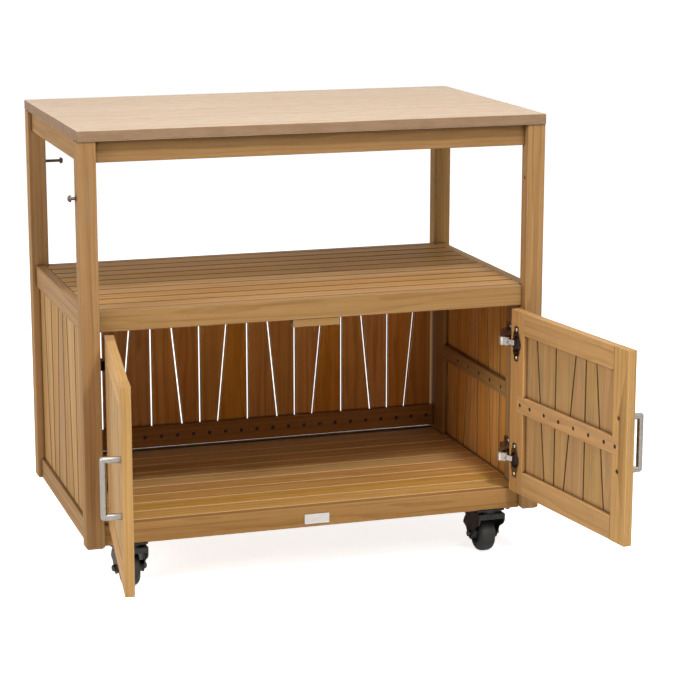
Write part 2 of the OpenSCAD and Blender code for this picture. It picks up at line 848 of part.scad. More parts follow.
module wheel() color(BLACK) translate([0, trail, axle_z]) rotate([0, 90, 0])
    rotate_extrude() {
        bore = axle_r + pin_play;
        translate([bore, -hub_w / 2]) square([12 - bore, hub_w]);
        translate([11, -tyre_w / 4]) square([20, tyre_w / 2]);
        translate([rim_r, -tyre_w / 2])
            square([wheel_r - tyre_round - rim_r, tyre_w]);
        translate([rim_r, -tyre_w / 2 + tyre_round])
            square([wheel_r - rim_r, tyre_w - 2 * tyre_round]);
        for (s = [-1, 1])
            translate([wheel_r - tyre_round, s * (tyre_w / 2 - tyre_round)])
                circle(tyre_round);
    }

// Brake pedal on its pin behind the hood, pressed down
module brake() color(DARK) translate([0, ear_y, ear_z])
    difference() {
        width = 2 * fork_in - 2 * pass;
        translate([-width / 2, 0, 0]) rotate([90, 0, 90]) linear_extrude(width) {
            circle(4);
            rotate(-14) translate([0, -1]) square([pedal_l, 4]);
            rotate(-14) translate([pedal_l, 1]) circle(3);
        }
        translate([-width, 0, 0]) rotate([0, 90, 0])
            cylinder(r = arm_pin_r + pin_play, h = 2 * width, $fn = 32);
    }

module front_left_fork() caster_at(-1, false) fork(true);
module front_left_wheel() caster_at(-1, false) wheel();
module front_left_brake() caster_at(-1, false) brake();
module front_right_fork() caster_at(1, false) fork(true);
module front_right_wheel() caster_at(1, false) wheel();
module front_right_brake() caster_at(1, false) brake();
module rear_left_fork() caster_at(-1, true) fork(false);
module rear_left_wheel() caster_at(-1, true) wheel();
module rear_right_fork() caster_at(1, true) fork(false);
module rear_right_wheel() caster_at(1, true) wheel();

worktop();
front_left_post();
front_right_post();
rear_left_post();
rear_right_post();
front_apron();
rear_apron();
side_aprons();
front_shelf_rail();
rear_shelf_rail();
side_shelf_rails();
shelf_slats();
shelf_joists();
front_base_rail();
rear_base_rail();
side_base_rails();
floor_slats();
floor_joists();
left_boards();
right_boards();
back_boards();
side_uprights();
side_battens();
back_battens();
panel_screws();
door_stop();
blank_plate();
link_bolts();
hinge_arms();
caster_blocks();
caster_plates();
caster_screws();
left_hinge_stile();
left_free_stile();
left_door_rails();
left_door_boards();
left_door_batten();
left_door_screws();
left_handle();
left_hinge_cups();
left_hinge_links();
right_hinge_stile();
right_free_stile();
right_door_rails();
right_door_boards();
right_door_batten();
right_door_screws();
right_handle();
right_hinge_cups();
right_hinge_links();
front_left_fork();
front_left_wheel();
front_left_brake();
front_right_fork();
front_right_wheel();
front_right_brake();
rear_left_fork();
rear_left_wheel();
rear_right_fork();
rear_right_wheel();
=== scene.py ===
import json
import math
import random

import bmesh
import bpy
from mathutils import Matrix, Vector


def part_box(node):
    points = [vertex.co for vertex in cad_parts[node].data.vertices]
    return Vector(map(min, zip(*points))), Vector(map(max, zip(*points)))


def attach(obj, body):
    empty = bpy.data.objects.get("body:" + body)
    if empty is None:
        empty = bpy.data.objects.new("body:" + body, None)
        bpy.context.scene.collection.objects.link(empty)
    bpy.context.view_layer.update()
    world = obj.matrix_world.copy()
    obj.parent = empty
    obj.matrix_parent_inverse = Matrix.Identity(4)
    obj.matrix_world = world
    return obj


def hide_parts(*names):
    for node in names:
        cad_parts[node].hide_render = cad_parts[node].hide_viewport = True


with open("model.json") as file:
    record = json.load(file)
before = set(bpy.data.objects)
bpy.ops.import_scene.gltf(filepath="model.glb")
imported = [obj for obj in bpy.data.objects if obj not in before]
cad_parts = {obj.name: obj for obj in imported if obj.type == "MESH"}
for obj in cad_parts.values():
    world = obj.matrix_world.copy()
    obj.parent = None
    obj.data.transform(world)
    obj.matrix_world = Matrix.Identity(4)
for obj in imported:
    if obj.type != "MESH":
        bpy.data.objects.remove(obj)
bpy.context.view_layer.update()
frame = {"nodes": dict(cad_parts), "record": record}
nodes = frame["nodes"]
record = frame["record"]
bodyOf = {n: b for b, group in record["behaviour"]["bodies"].items() for n in group}
slotOf = {s["node"]: s["material_slot"] for s in record["subparts"]}
jointOf = {j["name"]: j for j in record["behaviour"]["joints"]}
print("frame loaded", len(nodes), "nodes")

# Lengths are in metres and angles in radians, except where a comment says otherwise.
# The focal length is in pixels of the photograph, the sensor and the lens in millimetres.
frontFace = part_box("front_left_post")[0].y
cameraSettings = {
    "place": (-1.2122, frontFace - 3.9295, 1.3862),
    "yaw": 0.3083,
    "pitch": 0.2164,
    "roll": 0.0,
    "focal": 2177.0,
    "photoWide": 677.0,
    "sensor": 36.0,
    "clip": (0.05, 60.0),
}


def makeCamera(s):
    data = bpy.data.cameras.new("photoCamera")
    data.sensor_width = s["sensor"]
    data.sensor_fit = "HORIZONTAL"
    data.lens = s["sensor"] * s["focal"] / s["photoWide"]
    data.clip_start, data.clip_end = s["clip"]
    camera = bpy.data.objects.new("photoCamera", data)
    bpy.context.scene.collection.objects.link(camera)
    camera.location = s["place"]
    camera.rotation_euler = (math.pi / 2 - s["pitch"], s["roll"], -s["yaw"])
    bpy.context.scene.camera = camera


makeCamera(cameraSettings)
print("camera ready")


# Shader and geometry trees are wired with these short calls
def add(tree, kind, wires=None, **props):
    node = tree.nodes.new(kind)
    for key, value in props.items():
        setattr(node, key, value)
    for key, value in (wires or {}).items():
        if isinstance(value, bpy.types.NodeSocket):
            tree.links.new(value, node.inputs[key])
        else:
            node.inputs[key].default_value = value
    return node


def calc(tree, operation, a, b=0.0, c=0.0):
    return add(tree, "ShaderNodeMath", {0: a, 1: b, 2: c}, operation=operation).outputs[0]


def times(tree, a, b):
    return calc(tree, "MULTIPLY", a, b)


def mixed(tree, factor, a, b, blend="MIX"):
    node = add(tree, "ShaderNodeMix", {0: factor, 6: a, 7: b}, data_type="RGBA",
               blend_type=blend)
    return node.outputs[2]


def scaled(tree, vector, factors):
    return add(tree, "ShaderNodeVectorMath", {0: vector, 1: factors},
               operation="MULTIPLY").outputs[0]


def noise(tree, vector, scale, detail=3.0, rough=0.5):
    return add(tree, "ShaderNodeTexNoise", {"Vector": vector, "Scale": scale,
               "Detail": detail, "Roughness": rough}).outputs["Fac"]


def spanned(tree, value, fromLow, fromHigh, toLow=0.0, toHigh=1.0):
    return add(tree, "ShaderNodeMapRange", {0: value, 1: fromLow, 2: fromHigh,
               3: toLow, 4: toHigh}).outputs[0]


def grouped(tree, group, **values):
    node = add(tree, "ShaderNodeGroup", node_tree=group)
    for label, value in values.items():
        node.inputs[label].default_value = value
    return node.outputs


def newGroup(name, kind, takes, gives):
    group = bpy.data.node_groups.new(name, kind)
    for label, socketKind, default in takes:
        socket = group.interface.new_socket(label, in_out="INPUT", socket_type=socketKind)
        if default is not None:
            socket.default_value = default
    for label, socketKind in gives:
        group.interface.new_socket(label, in_out="OUTPUT", socket_type=socketKind)
    take, give = group.nodes.new("NodeGroupInput"), group.nodes.new("NodeGroupOutput")
    return group, take.outputs, give.inputs


def newMaterial(name):
    material = bpy.data.materials.new(name)
    material.use_nodes = True
    tree = material.node_tree
    return material, tree, tree.nodes["Principled BSDF"]


# White studio. Each lamp is its place, its width and its power in watts; the ones under
# noGlare leave no highlight on the worktop.
stageSettings = {
    "floor": (0.93, 0.93, 0.93, 1.0),
    "floorHalf": 14.0,
    "floorRough": 0.9,
    "floorGlow": 0.8,
    "sky": (1.0, 1.0, 1.0, 1.0),
    "skyStrength": 0.21,
    "backdropStrength": 1.1,
    "aimAt": (0, 0, 0.45),
    "lights": {
        "key": ((-5.4, -2.3, 2.8), 2.2, 184.0),
        "front": ((0.6, -3.5, 3.0), 1.4, 28.0),
        "high": ((0.5, -2.7, 3.9), 0.6, 98.0),
        "top": ((0.0, -0.7, 3.3), 2.6, 30.0),
        "rim": ((-1.6, 3.2, 1.2), 1.6, 38.0),
    },
    "noGlare": ("rim",),
}


def makeBackdrop(s):
    world = bpy.data.worlds.new("softStudio")
    world.use_nodes = True
    tree = world.node_tree
    sky = tree.nodes["Background"]
    sky.inputs["Color"].default_value = s["sky"]
    ray = tree.nodes.new("ShaderNodeLightPath").outputs
    white = calc(tree, "MAXIMUM", ray["Is Camera Ray"], ray["Is Glossy Ray"])
    strength = spanned(tree, white, 0.0, 1.0, s["skyStrength"], s["backdropStrength"])
    tree.links.new(strength, sky.inputs["Strength"])
    bpy.context.scene.world = world


def makeFloor(s):
    half = s["floorHalf"]
    mesh = bpy.data.meshes.new("floor")
    mesh.from_pydata([(-half, -half, 0), (half, -half, 0), (half, half, 0),
                      (-half, half, 0)], [], [(0, 1, 2, 3)])
    material, tree, shader = newMaterial("floorPaint")
    shader.inputs["Base Color"].default_value = s["floor"]
    shader.inputs["Roughness"].default_value = s["floorRough"]
    shader.inputs["Specular IOR Level"].default_value = 0.0
    shader.inputs["Emission Color"].default_value = s["sky"]
    seen = tree.nodes.new("ShaderNodeLightPath").outputs["Is Camera Ray"]
    tree.links.new(times(tree, seen, s["floorGlow"]), shader.inputs["Emission Strength"])
    mesh.materials.append(material)
    floor = bpy.data.objects.new("floor", mesh)
    bpy.context.scene.collection.objects.link(floor)


def makeLamps(s):
    middle = Vector(s["aimAt"])
    for name, (place, size, power) in s["lights"].items():
        data = bpy.data.lights.new(name, "AREA")
        data.shape, data.size, data.energy = "DISK", size, power
        lamp = bpy.data.objects.new(name, data)
        bpy.context.scene.collection.objects.link(lamp)
        lamp.location = place
        lamp.visible_glossy = name not in s["noGlare"]
        aim = middle - Vector(place)
        lamp.rotation_euler = aim.to_track_quat("-Z", "Y").to_euler()


bpy.context.scene.view_settings.view_transform = "Standard"
makeBackdrop(stageSettings)
makeFloor(stageSettings)
makeLamps(stageSettings)
print("stage ready")

# Painted highlight along the edges, and painted shade in the creases
highlightShadeSettings = {"edgeReach": 0.0015, "edgeSamples": 4, "edgeSpan": (1.0, 0.9),
                "creaseReach": 0.008, "creaseLow": 0.3, "creaseSamples": 8,
                "creaseSpan": (0.25, 0.9)}


def makeEdgeGroup(s):
    group, take, give = newGroup(
        "edgeHighlight", "ShaderNodeTree", [("Reach", "NodeSocketFloat", s["edgeReach"])],
        [("Edge", "NodeSocketFloat")])
    soft = add(group, "ShaderNodeBevel", {"Radius": take["Reach"]}, samples=s["edgeSamples"])
    hard = group.nodes.new("ShaderNodeNewGeometry")
    turn = add(group, "ShaderNodeVectorMath", {0: soft.outputs[0],
               1: hard.outputs["Normal"]}, operation="DOT_PRODUCT").outputs["Value"]
    group.links.new(spanned(group, turn, *s["edgeSpan"]), give["Edge"])
    return group


def makeCreaseGroup(s):
    group, take, give = newGroup("creaseShade", "ShaderNodeTree", [
        ("Reach", "NodeSocketFloat", s["creaseReach"]),
        ("Low", "NodeSocketFloat", s["creaseLow"])], [("Shade", "NodeSocketFloat")])
    near = add(group, "ShaderNodeAmbientOcclusion", {"Distance": take["Reach"]},
               samples=s["creaseSamples"]).outputs["AO"]
    shade = spanned(group, near, *s["creaseSpan"], take["Low"], 1.0)
    group.links.new(shade, give["Shade"])
    return group


# Timber figure. Each pattern is a noise: its changes in a metre along, across and through
# the grain, its detail and its roughness. A span is the part of a noise that shows. The
# hue and the saturation of a board are the steps of its tint, their share and their start.
grainSettings = {
    "warp": ((1.6, 11.0, 11.0), 2.0, 0.5), "warpReach": 0.05,
    "sway": ((4.5, 40.0, 40.0), 2.0, 0.5), "swayReach": 0.012,
    "lateWood": 2.6, "ringEnd": 0.93, "ringShare": 0.5,
    "fibre": ((9.0, 520.0, 520.0), 3.0, 0.6), "fibreShare": 0.35,
    "streak": ((1.3, 70.0, 70.0), 4.0, 0.62), "streakShare": 1.1,
    "cloud": ((2.2, 9.0, 9.0), 2.0, 0.5), "cloudShare": 0.7,
    "shadeSpan": (0.95, 1.5),
    "line": ((2.0, 190.0, 190.0), 2.0, 0.5), "lineSpan": (0.58, 0.68),
    "lineTone": (0.115, 0.048, 0.017, 1),
    "stain": ((7.0, 26.0, 26.0), 3.0, 0.55), "stainSpan": (0.54, 0.74),
    "stainTone": (0.27, 0.205, 0.12, 1),
    "fleck": ((26.0, 75.0, 75.0), 4.0, 0.6), "fleckSpan": (0.45, 0.62),
    "hue": (7.3, 0.008, 0.497), "saturation": (3.7, 0.12, 0.96),
    "fibreHeight": 0.6, "ringHeight": 0.4,
}


def makeGrainGroup(s):
    group, take, give = newGroup("timberGrain", "ShaderNodeTree", [
        ("Light", "NodeSocketColor", (0.5, 0.3, 0.15, 1)),
        ("Dark", "NodeSocketColor", (0.3, 0.15, 0.06, 1)),
        ("Rings", "NodeSocketFloat", 210.0),
        ("Figure", "NodeSocketFloat", 0.6),
        ("Vein", "NodeSocketFloat", 0.5),
        ("Patch", "NodeSocketFloat", 0.2),
        ("Mottle", "NodeSocketFloat", 0.0),
        ("Spread", "NodeSocketFloat", 0.25)],
        [("Color", "NodeSocketColor"), ("Height", "NodeSocketFloat"),
         ("Streak", "NodeSocketFloat")])
    grain = add(group, "ShaderNodeAttribute", attribute_name="grain").outputs["Vector"]
    tint = add(group, "ShaderNodeAttribute", attribute_name="tint").outputs["Fac"]

    def pattern(name):
        scale, detail, rough = s[name]
        return noise(group, scaled(group, grain, scale), 1.0, detail, rough)

    def shown(name):
        return spanned(group, pattern(name), *s[name + "Span"])

    def pushed(axis, name):
        reach = s[name + "Reach"]
        return calc(group, "ADD", axis,
                    calc(group, "MULTIPLY_ADD", pattern(name), reach, -reach / 2))

    def varied(name):
        steps, share, start = s[name]
        part = calc(group, "FRACT", times(group, tint, steps))
        return calc(group, "MULTIPLY_ADD", part, share, start)

    axes = add(group, "ShaderNodeSeparateXYZ", {0: grain}).outputs
    side, deep = pushed(axes[1], "warp"), pushed(axes[2], "sway")
    radius = calc(group, "SQRT", calc(group, "ADD", times(group, side, side),
                                      times(group, deep, deep)))
    phase = calc(group, "FRACT", times(group, radius, take["Rings"]))
    ring = times(group, calc(group, "POWER", phase, s["lateWood"]),
                 spanned(group, phase, 1.0, s["ringEnd"]))
    fibre, streak = pattern("fibre"), pattern("streak")
    fine = calc(group, "MULTIPLY_ADD", ring, s["ringShare"],
                times(group, fibre, s["fibreShare"]))
    broad = calc(group, "MULTIPLY_ADD", streak, s["streakShare"],
                 times(group, pattern("cloud"), s["cloudShare"]))
    shade = spanned(group, calc(group, "ADD", fine, broad), *s["shadeSpan"])
    colour = mixed(group, times(group, shade, take["Figure"]), take["Light"], take["Dark"])
    for name, share, tone in (("line", "Vein", s["lineTone"]),
                              ("stain", "Patch", s["stainTone"]),
                              ("fleck", "Mottle", take["Dark"])):
        colour = mixed(group, times(group, shown(name), take[share]), colour, tone)
    bright = calc(group, "ADD", 1.0, times(group, take["Spread"],
                  calc(group, "SUBTRACT", tint, 0.5)))
    hue = add(group, "ShaderNodeHueSaturation", {"Hue": varied("hue"),
              "Saturation": varied("saturation"), "Value": bright, "Color": colour})
    group.links.new(hue.outputs[0], give["Color"])
    group.links.new(calc(group, "ADD", times(group, fibre, s["fibreHeight"]),
                         times(group, ring, s["ringHeight"])), give["Height"])
    group.links.new(streak, give["Streak"])
    return group


edgeGroup = makeEdgeGroup(highlightShadeSettings)
creaseGroup = makeCreaseGroup(highlightShadeSettings)
grainGroup = makeGrainGroup(grainSettings)
print("shader groups ready")

# Timber finishes: what they share, then what each has of its own
# Colour of the painted shade in creases; also the default dark tone of the joints
creaseTone = (0.05, 0.022, 0.008)
timberCommon = {
    "rings": 150.0, "figure": 0.6, "vein": 0.2, "patch": 0.1, "mottle": 0.1, "spread": 0.1,
    "rough": 0.56, "gloss": 0.1, "crease": 0.009, "joint": creaseTone, "jointMix": 0.35,
    # The edge tone and share on the next line paint a highlight along the edges
    "edgeHighlightTone": (0.75, 0.55, 0.34), "paintedEdgeLight": 0.16, "bump": 0.35, "bumpDeep": 0.0006,
    "streakSpan": (0.3, 0.7), "roughLess": 0.08, "roughMore": 0.1,
    "edgeTone": None, "edgeSpan": (0.55, 0.75),
}
timberSettings = {
    "frameTimber": {"light": (0.385, 0.214, 0.08), "dark": (0.245, 0.12, 0.036),
                    "vein": 0.28, "patch": 0.25, "crease": 0.007},
    # Aprons and door stop: a darker copy of the frame timber with a longer crease reach,
    # painted shade as under the overhanging worktop
    "apronTimber": {"light": (0.34, 0.188, 0.07), "dark": (0.21, 0.104, 0.031),
                    "figure": 0.5, "vein": 0.16, "patch": 0.2, "spread": 0.08,
                    "gloss": 0.08, "crease": 0.012},
    "shelfTimber": {"light": (0.49, 0.275, 0.1), "dark": (0.29, 0.146, 0.045),
                    "figure": 0.55, "vein": 0.3, "patch": 0.2, "spread": 0.12,
                    "rough": 0.6, "gloss": 0.07, "joint": (0.07, 0.028, 0.008),
                    "jointMix": 0.55},
    "boardTimber": {"light": (0.45, 0.258, 0.108), "dark": (0.28, 0.142, 0.05),
                    "figure": 0.55, "vein": 0.3, "patch": 0.3, "spread": 0.12,
                    "jointMix": 0.7},
    "doorTimber": {"light": (0.54, 0.308, 0.122), "dark": (0.37, 0.184, 0.058),
                   "vein": 0.24, "patch": 0.4, "rough": 0.54, "gloss": 0.12,
                   "crease": 0.007},
    "doorBoardTimber": {"light": (0.50, 0.298, 0.126), "dark": (0.35, 0.185, 0.068),
                        "vein": 0.22, "patch": 0.6, "spread": 0.14, "rough": 0.54,
                        "gloss": 0.12, "jointMix": 0.7},
    # Floor slats: the light joint tone paints a highlight on the slat edges
    "floorTimber": {"light": (0.60, 0.325, 0.11), "dark": (0.35, 0.165, 0.042),
                    "vein": 0.25, "spread": 0.14, "rough": 0.55, "crease": 0.005,
                    "joint": (0.86, 0.6, 0.32), "jointMix": 0.6},
    # Inside of the right panel: a brighter, more saturated tone paints bounced light, and the
    # light joint tone paints highlights beside the gaps
    "insideTimber": {"light": (0.70, 0.35, 0.108), "dark": (0.42, 0.18, 0.044),
                     "vein": 0.35, "spread": 0.16, "rough": 0.58, "gloss": 0.07,
                     "joint": (0.7, 0.42, 0.17), "jointMix": 0.5},
    # Back boards: the near-white joint tone paints light glowing at the edges of the joints
    # from behind
    "backTimber": {"light": (0.66, 0.295, 0.08), "dark": (0.37, 0.135, 0.027),
                   "figure": 0.55, "spread": 0.22, "rough": 0.58, "gloss": 0.06,
                   "crease": 0.006, "joint": (0.95, 0.72, 0.42), "jointMix": 0.85},
    "battenTimber": {"light": (0.38, 0.165, 0.036), "dark": (0.22, 0.085, 0.015),
                     "figure": 0.5, "rough": 0.58, "gloss": 0.05, "jointMix": 0.5},
    # Worktop: its edge tone is painted shade on the side faces
    "worktopTimber": {"light": (0.60, 0.445, 0.315), "dark": (0.46, 0.32, 0.21),
                      "rings": 90.0, "figure": 0.42, "vein": 0.04, "patch": 0.0,
                      "mottle": 0.5, "rough": 0.5, "gloss": 0.16, "crease": 0.006,
                      "jointMix": 0.0, "edgeTone": (0.48, 0.405, 0.335)},
}


def makeTimber(name, s):
    material, tree, shader = newMaterial(name)
    grain = grouped(tree, grainGroup, Light=(*s["light"], 1), Dark=(*s["dark"], 1),
                    Rings=s["rings"], Figure=s["figure"], Vein=s["vein"],
                    Patch=s["patch"], Mottle=s["mottle"], Spread=s["spread"])
    # Painted highlight: edges mixed towards a pale tone
    edge = grouped(tree, edgeGroup)[0]
    paintedEdgeLight = mixed(tree, times(tree, edge, s["paintedEdgeLight"]), grain["Color"], (*s["edgeHighlightTone"], 1))
    # Painted shade: creases darkened towards the crease colour by ambient occlusion
    crease = grouped(tree, creaseGroup, Reach=s["crease"])[0]
    joint = add(tree, "ShaderNodeAttribute", attribute_name="joint").outputs["Fac"]
    rounded = mixed(tree, times(tree, joint, s["jointMix"]), paintedEdgeLight, (*s["joint"], 1))
    colour = mixed(tree, times(tree, crease, crease), (*creaseTone, 1), rounded)
    # Painted shade: faces that don't face up or down are darkened towards the edge tone,
    # darker than the lit top
    if s["edgeTone"]:
        normal = tree.nodes.new("ShaderNodeNewGeometry").outputs["True Normal"]
        up = add(tree, "ShaderNodeSeparateXYZ", {0: normal}).outputs[2]
        flat = spanned(tree, calc(tree, "ABSOLUTE", up), *s["edgeSpan"])
        tone = mixed(tree, flat, (*s["edgeTone"], 1), (1, 1, 1, 1))
        colour = mixed(tree, 1.0, colour, tone, "MULTIPLY")
    tree.links.new(colour, shader.inputs["Base Color"])
    rough = spanned(tree, grain["Streak"], *s["streakSpan"], s["rough"] - s["roughLess"],
                    s["rough"] + s["roughMore"])
    tree.links.new(rough, shader.inputs["Roughness"])
    shader.inputs["Specular IOR Level"].default_value = s["gloss"]
    bump = add(tree, "ShaderNodeBump", {"Height": grain["Height"], "Strength": s["bump"],
               "Distance": s["bumpDeep"]})
    tree.links.new(bump.outputs[0], shader.inputs["Normal"])
    return material


timber = {name: makeTimber(name, {**timberCommon, **s}) for name, s in timberSettings.items()}
print("timber finishes ready")

# Metal, rubber, paint and plastic
hardCommon = {
    "metal": 0.0, "speck": 0.1, "speckTone": 0.55, "cloud": 35.0, "roughSpan": (0.6, 1.4),
    "edgeReach": 0.0008, "edgeMix": 0.35, "edgeGain": 1.5, "edgeLift": 0.03,
    # The crease reach and the share after it set the painted shade in creases
    "creaseReach": 0.003, "paintedCreaseShade": 0.25, "bumpDeep": 0.0004,
}
hardSettings = {
    "brightSteel": {"color": (0.58, 0.555, 0.52), "metal": 1.0, "rough": 0.26,
                    "speck": 0.06, "stretch": (60.0, 60.0, 60.0), "bump": 0.02},
    "linkZinc": {"color": (0.8, 0.78, 0.74), "metal": 0.7, "rough": 0.3,
                 "speck": 0.16, "stretch": (200.0, 200.0, 200.0), "bump": 0.04},
    # Hinge cups: the dark brown colour and its specks paint a dark mottled reflection, and
    # the pale edge is a painted highlight
    "darkReflectionSteel": {"color": (0.24, 0.19, 0.15), "metal": 1.0, "rough": 0.22,
                    "speck": 0.34, "stretch": (260.0, 260.0, 260.0), "bump": 0.25,
                    "edge": (0.85, 0.8, 0.72), "edgeMix": 0.8},
    # Hinge arms: the pale edge is a painted highlight
    "armSteel": {"color": (0.34, 0.28, 0.23), "metal": 1.0, "rough": 0.26,
                 "speck": 0.28, "stretch": (260.0, 260.0, 260.0), "bump": 0.2,
                 "edge": (0.85, 0.8, 0.72), "edgeMix": 0.7},
    "handleSteel": {"color": (0.4, 0.37, 0.33), "metal": 1.0, "rough": 0.24,
                    "speck": 0.12, "stretch": (900.0, 900.0, 30.0), "bump": 0.06},
    "plateSteel": {"color": (0.74, 0.71, 0.665), "metal": 0.8, "rough": 0.34,
                   "speck": 0.14, "stretch": (30.0, 900.0, 1500.0), "bump": 0.05},
    "screwSteel": {"color": (0.16, 0.125, 0.095), "metal": 1.0, "rough": 0.42,
                   "speck": 0.2, "stretch": (400.0, 400.0, 400.0), "bump": 0.1},
    "brownScrew": {"color": (0.05, 0.026, 0.014), "metal": 0.4, "rough": 0.5,
                   "speck": 0.2, "stretch": (400.0, 400.0, 400.0), "bump": 0.1},
    "forkPaint": {"color": (0.0085, 0.008, 0.0068), "rough": 0.26,
                  "stretch": (500.0, 500.0, 500.0), "bump": 0.08},
    "tyreRubber": {"color": (0.0145, 0.0125, 0.009), "rough": 0.5, "speck": 0.16,
                   "stretch": (700.0, 700.0, 700.0), "bump": 0.15},
    "hubPlastic": {"color": (0.03, 0.028, 0.025), "rough": 0.42,
                   "stretch": (600.0, 600.0, 600.0), "bump": 0.06},
    "springBlack": {"color": (0.012, 0.011, 0.01), "metal": 0.2, "rough": 0.35,
                    "stretch": (900.0, 900.0, 900.0), "bump": 0.04},
    "pedalPlastic": {"color": (0.035, 0.035, 0.036), "rough": 0.5,
                     "stretch": (800.0, 800.0, 800.0), "bump": 0.1},
}


def makeHard(name, s):
    material, tree, shader = newMaterial(name)
    place = add(tree, "ShaderNodeTexCoord").outputs["Object"]
    grain = noise(tree, scaled(tree, place, s["stretch"]), 1.0, detail=3.0, rough=0.6)
    cloud = noise(tree, place, s["cloud"], detail=2.0)
    edge = grouped(tree, edgeGroup, Reach=s["edgeReach"])[0]
    crease = grouped(tree, creaseGroup, Reach=s["creaseReach"])[0]
    # Painted highlight: edges mixed towards a paler colour
    paler = [min(1.0, c * s["edgeGain"] + s["edgeLift"]) for c in s["color"]]
    # Painted shade: creases darkened by ambient occlusion
    paintedCreaseShade, dull = ([c * s[key] for c in s["color"]] for key in ("paintedCreaseShade", "speckTone"))
    clean = mixed(tree, crease, (*paintedCreaseShade, 1), (*s["color"], 1))
    paintedEdgeLight = mixed(tree, times(tree, edge, s["edgeMix"]), clean,
                 (*s.get("edge", paler), 1))
    shade = mixed(tree, times(tree, grain, s["speck"] * 2), paintedEdgeLight, (*dull, 1))
    tree.links.new(shade, shader.inputs["Base Color"])
    shader.inputs["Metallic"].default_value = s["metal"]
    rough = spanned(tree, calc(tree, "ADD", grain, cloud), *s["roughSpan"],
                    s["rough"] - s["speck"] / 2, s["rough"] + s["speck"])
    tree.links.new(rough, shader.inputs["Roughness"])
    bump = add(tree, "ShaderNodeBump", {"Height": grain, "Strength": s["bump"],
               "Distance": s["bumpDeep"]})
    tree.links.new(bump.outputs[0], shader.inputs["Normal"])
    return material


hard = {name: makeHard(name, {**hardCommon, **s}) for name, s in hardSettings.items()}
print("hard finishes ready")

# Each timber piece: grain direction, width direction, finish and rounding of its edges.
# The doors stand open at rest, so their width runs along the turned door.
X, Y, Z = Vector((1, 0, 0)), Vector((0, 1, 0)), Vector((0, 0, 1))
openTurn = math.radians(98)
leftWide = Vector((math.cos(openTurn), -math.sin(openTurn), 0))
rightWide = Vector((-leftWide.x, leftWide.y, 0))
corners = ("front_left", "front_right", "rear_left", "rear_right")
timberPieces = {"worktop": (X, Y, "worktopTimber", 0.0)}
for corner in corners:
    timberPieces[corner + "_post"] = (Z, X, "frameTimber", 0.0)
timberPieces.update({
    "front_apron": (X, Z, "apronTimber", 0.0),
    "rear_apron": (X, Z, "apronTimber", 0.0),
    "side_aprons": (Y, Z, "frameTimber", 0.0),
    "front_shelf_rail": (X, Z, "frameTimber", 0.0),
    "rear_shelf_rail": (X, Z, "frameTimber", 0.0),
    "side_shelf_rails": (Y, Z, "frameTimber", 0.0),
    "shelf_slats": (X, Y, "shelfTimber", 0.0012),
    "shelf_joists": (Y, X, "frameTimber", 0.0),
    "front_base_rail": (X, Z, "frameTimber", 0.0),
    "rear_base_rail": (X, Z, "frameTimber", 0.0),
    "side_base_rails": (Y, Z, "frameTimber", 0.0),
    "floor_slats": (X, Y, "floorTimber", 0.001),
    "floor_joists": (Y, X, "frameTimber", 0.0),
    "left_boards": (Z, Y, "boardTimber", 0.0012),
    "right_boards": (Z, Y, "insideTimber", 0.0009),
    "back_boards": (Z, X, "backTimber", 0.0011),
    "side_uprights": (Z, Y, "frameTimber", 0.0),
    "side_battens": (Y, Z, "frameTimber", 0.0),
    "back_battens": (X, Z, "battenTimber", 0.0),
    "door_stop": (X, Z, "apronTimber", 0.0),
    "caster_blocks": (X, Y, "frameTimber", 0.001),
})
for side, wide in (("left", leftWide), ("right", rightWide)):
    timberPieces[side + "_hinge_stile"] = (Z, wide, "doorTimber", 0.0)
    timberPieces[side + "_free_stile"] = (Z, wide, "doorTimber", 0.0)
    timberPieces[side + "_door_rails"] = (wide, Z, "doorTimber", 0.0)
    timberPieces[side + "_door_boards"] = (Z, wide, "doorBoardTimber", 0.0012)
    timberPieces[side + "_door_batten"] = (wide, Z, "doorTimber", 0.0)

cutSettings = {"merge": 2e-5, "flat": 0.01, "sharp": 0.5, "segments": 2, "profile": 0.5,
               "pithAlong": 9, "pithAcross": 0.03, "pithDeep": (0.03, 0.09)}


def cleanCopy(name, s=cutSettings):
    work = bmesh.new()
    work.from_mesh(nodes[name].data)
    bmesh.ops.remove_doubles(work, verts=work.verts, dist=s["merge"])
    bmesh.ops.dissolve_limit(work, angle_limit=s["flat"], verts=work.verts,
                             edges=work.edges)
    work.verts.index_update()
    return work


def islandsOf(work):
    work.verts.ensure_lookup_table()
    seen, groups = set(), []
    for start in work.verts:
        if start.index in seen:
            continue
        seen.add(start.index)
        group, queue = [], [start]
        while queue:
            vert = queue.pop()
            group.append(vert)
            for edge in vert.link_edges:
                other = edge.other_vert(vert)
                if other.index not in seen:
                    seen.add(other.index)
                    queue.append(other)
        groups.append(group)
    return groups


def meshFrom(work, name, *finishes):
    mesh = bpy.data.meshes.new(name)
    work.to_mesh(mesh)
    work.free()
    for finish in finishes:
        mesh.materials.append(finish)
    return mesh


# The piece moves with the node's body; with instead, it stands for the node
def standWith(node, name, data, instead=False):
    piece = bpy.data.objects.new(name, data)
    bpy.context.scene.collection.objects.link(piece)
    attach(piece, bodyOf[node])
    if instead:
        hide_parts(node)


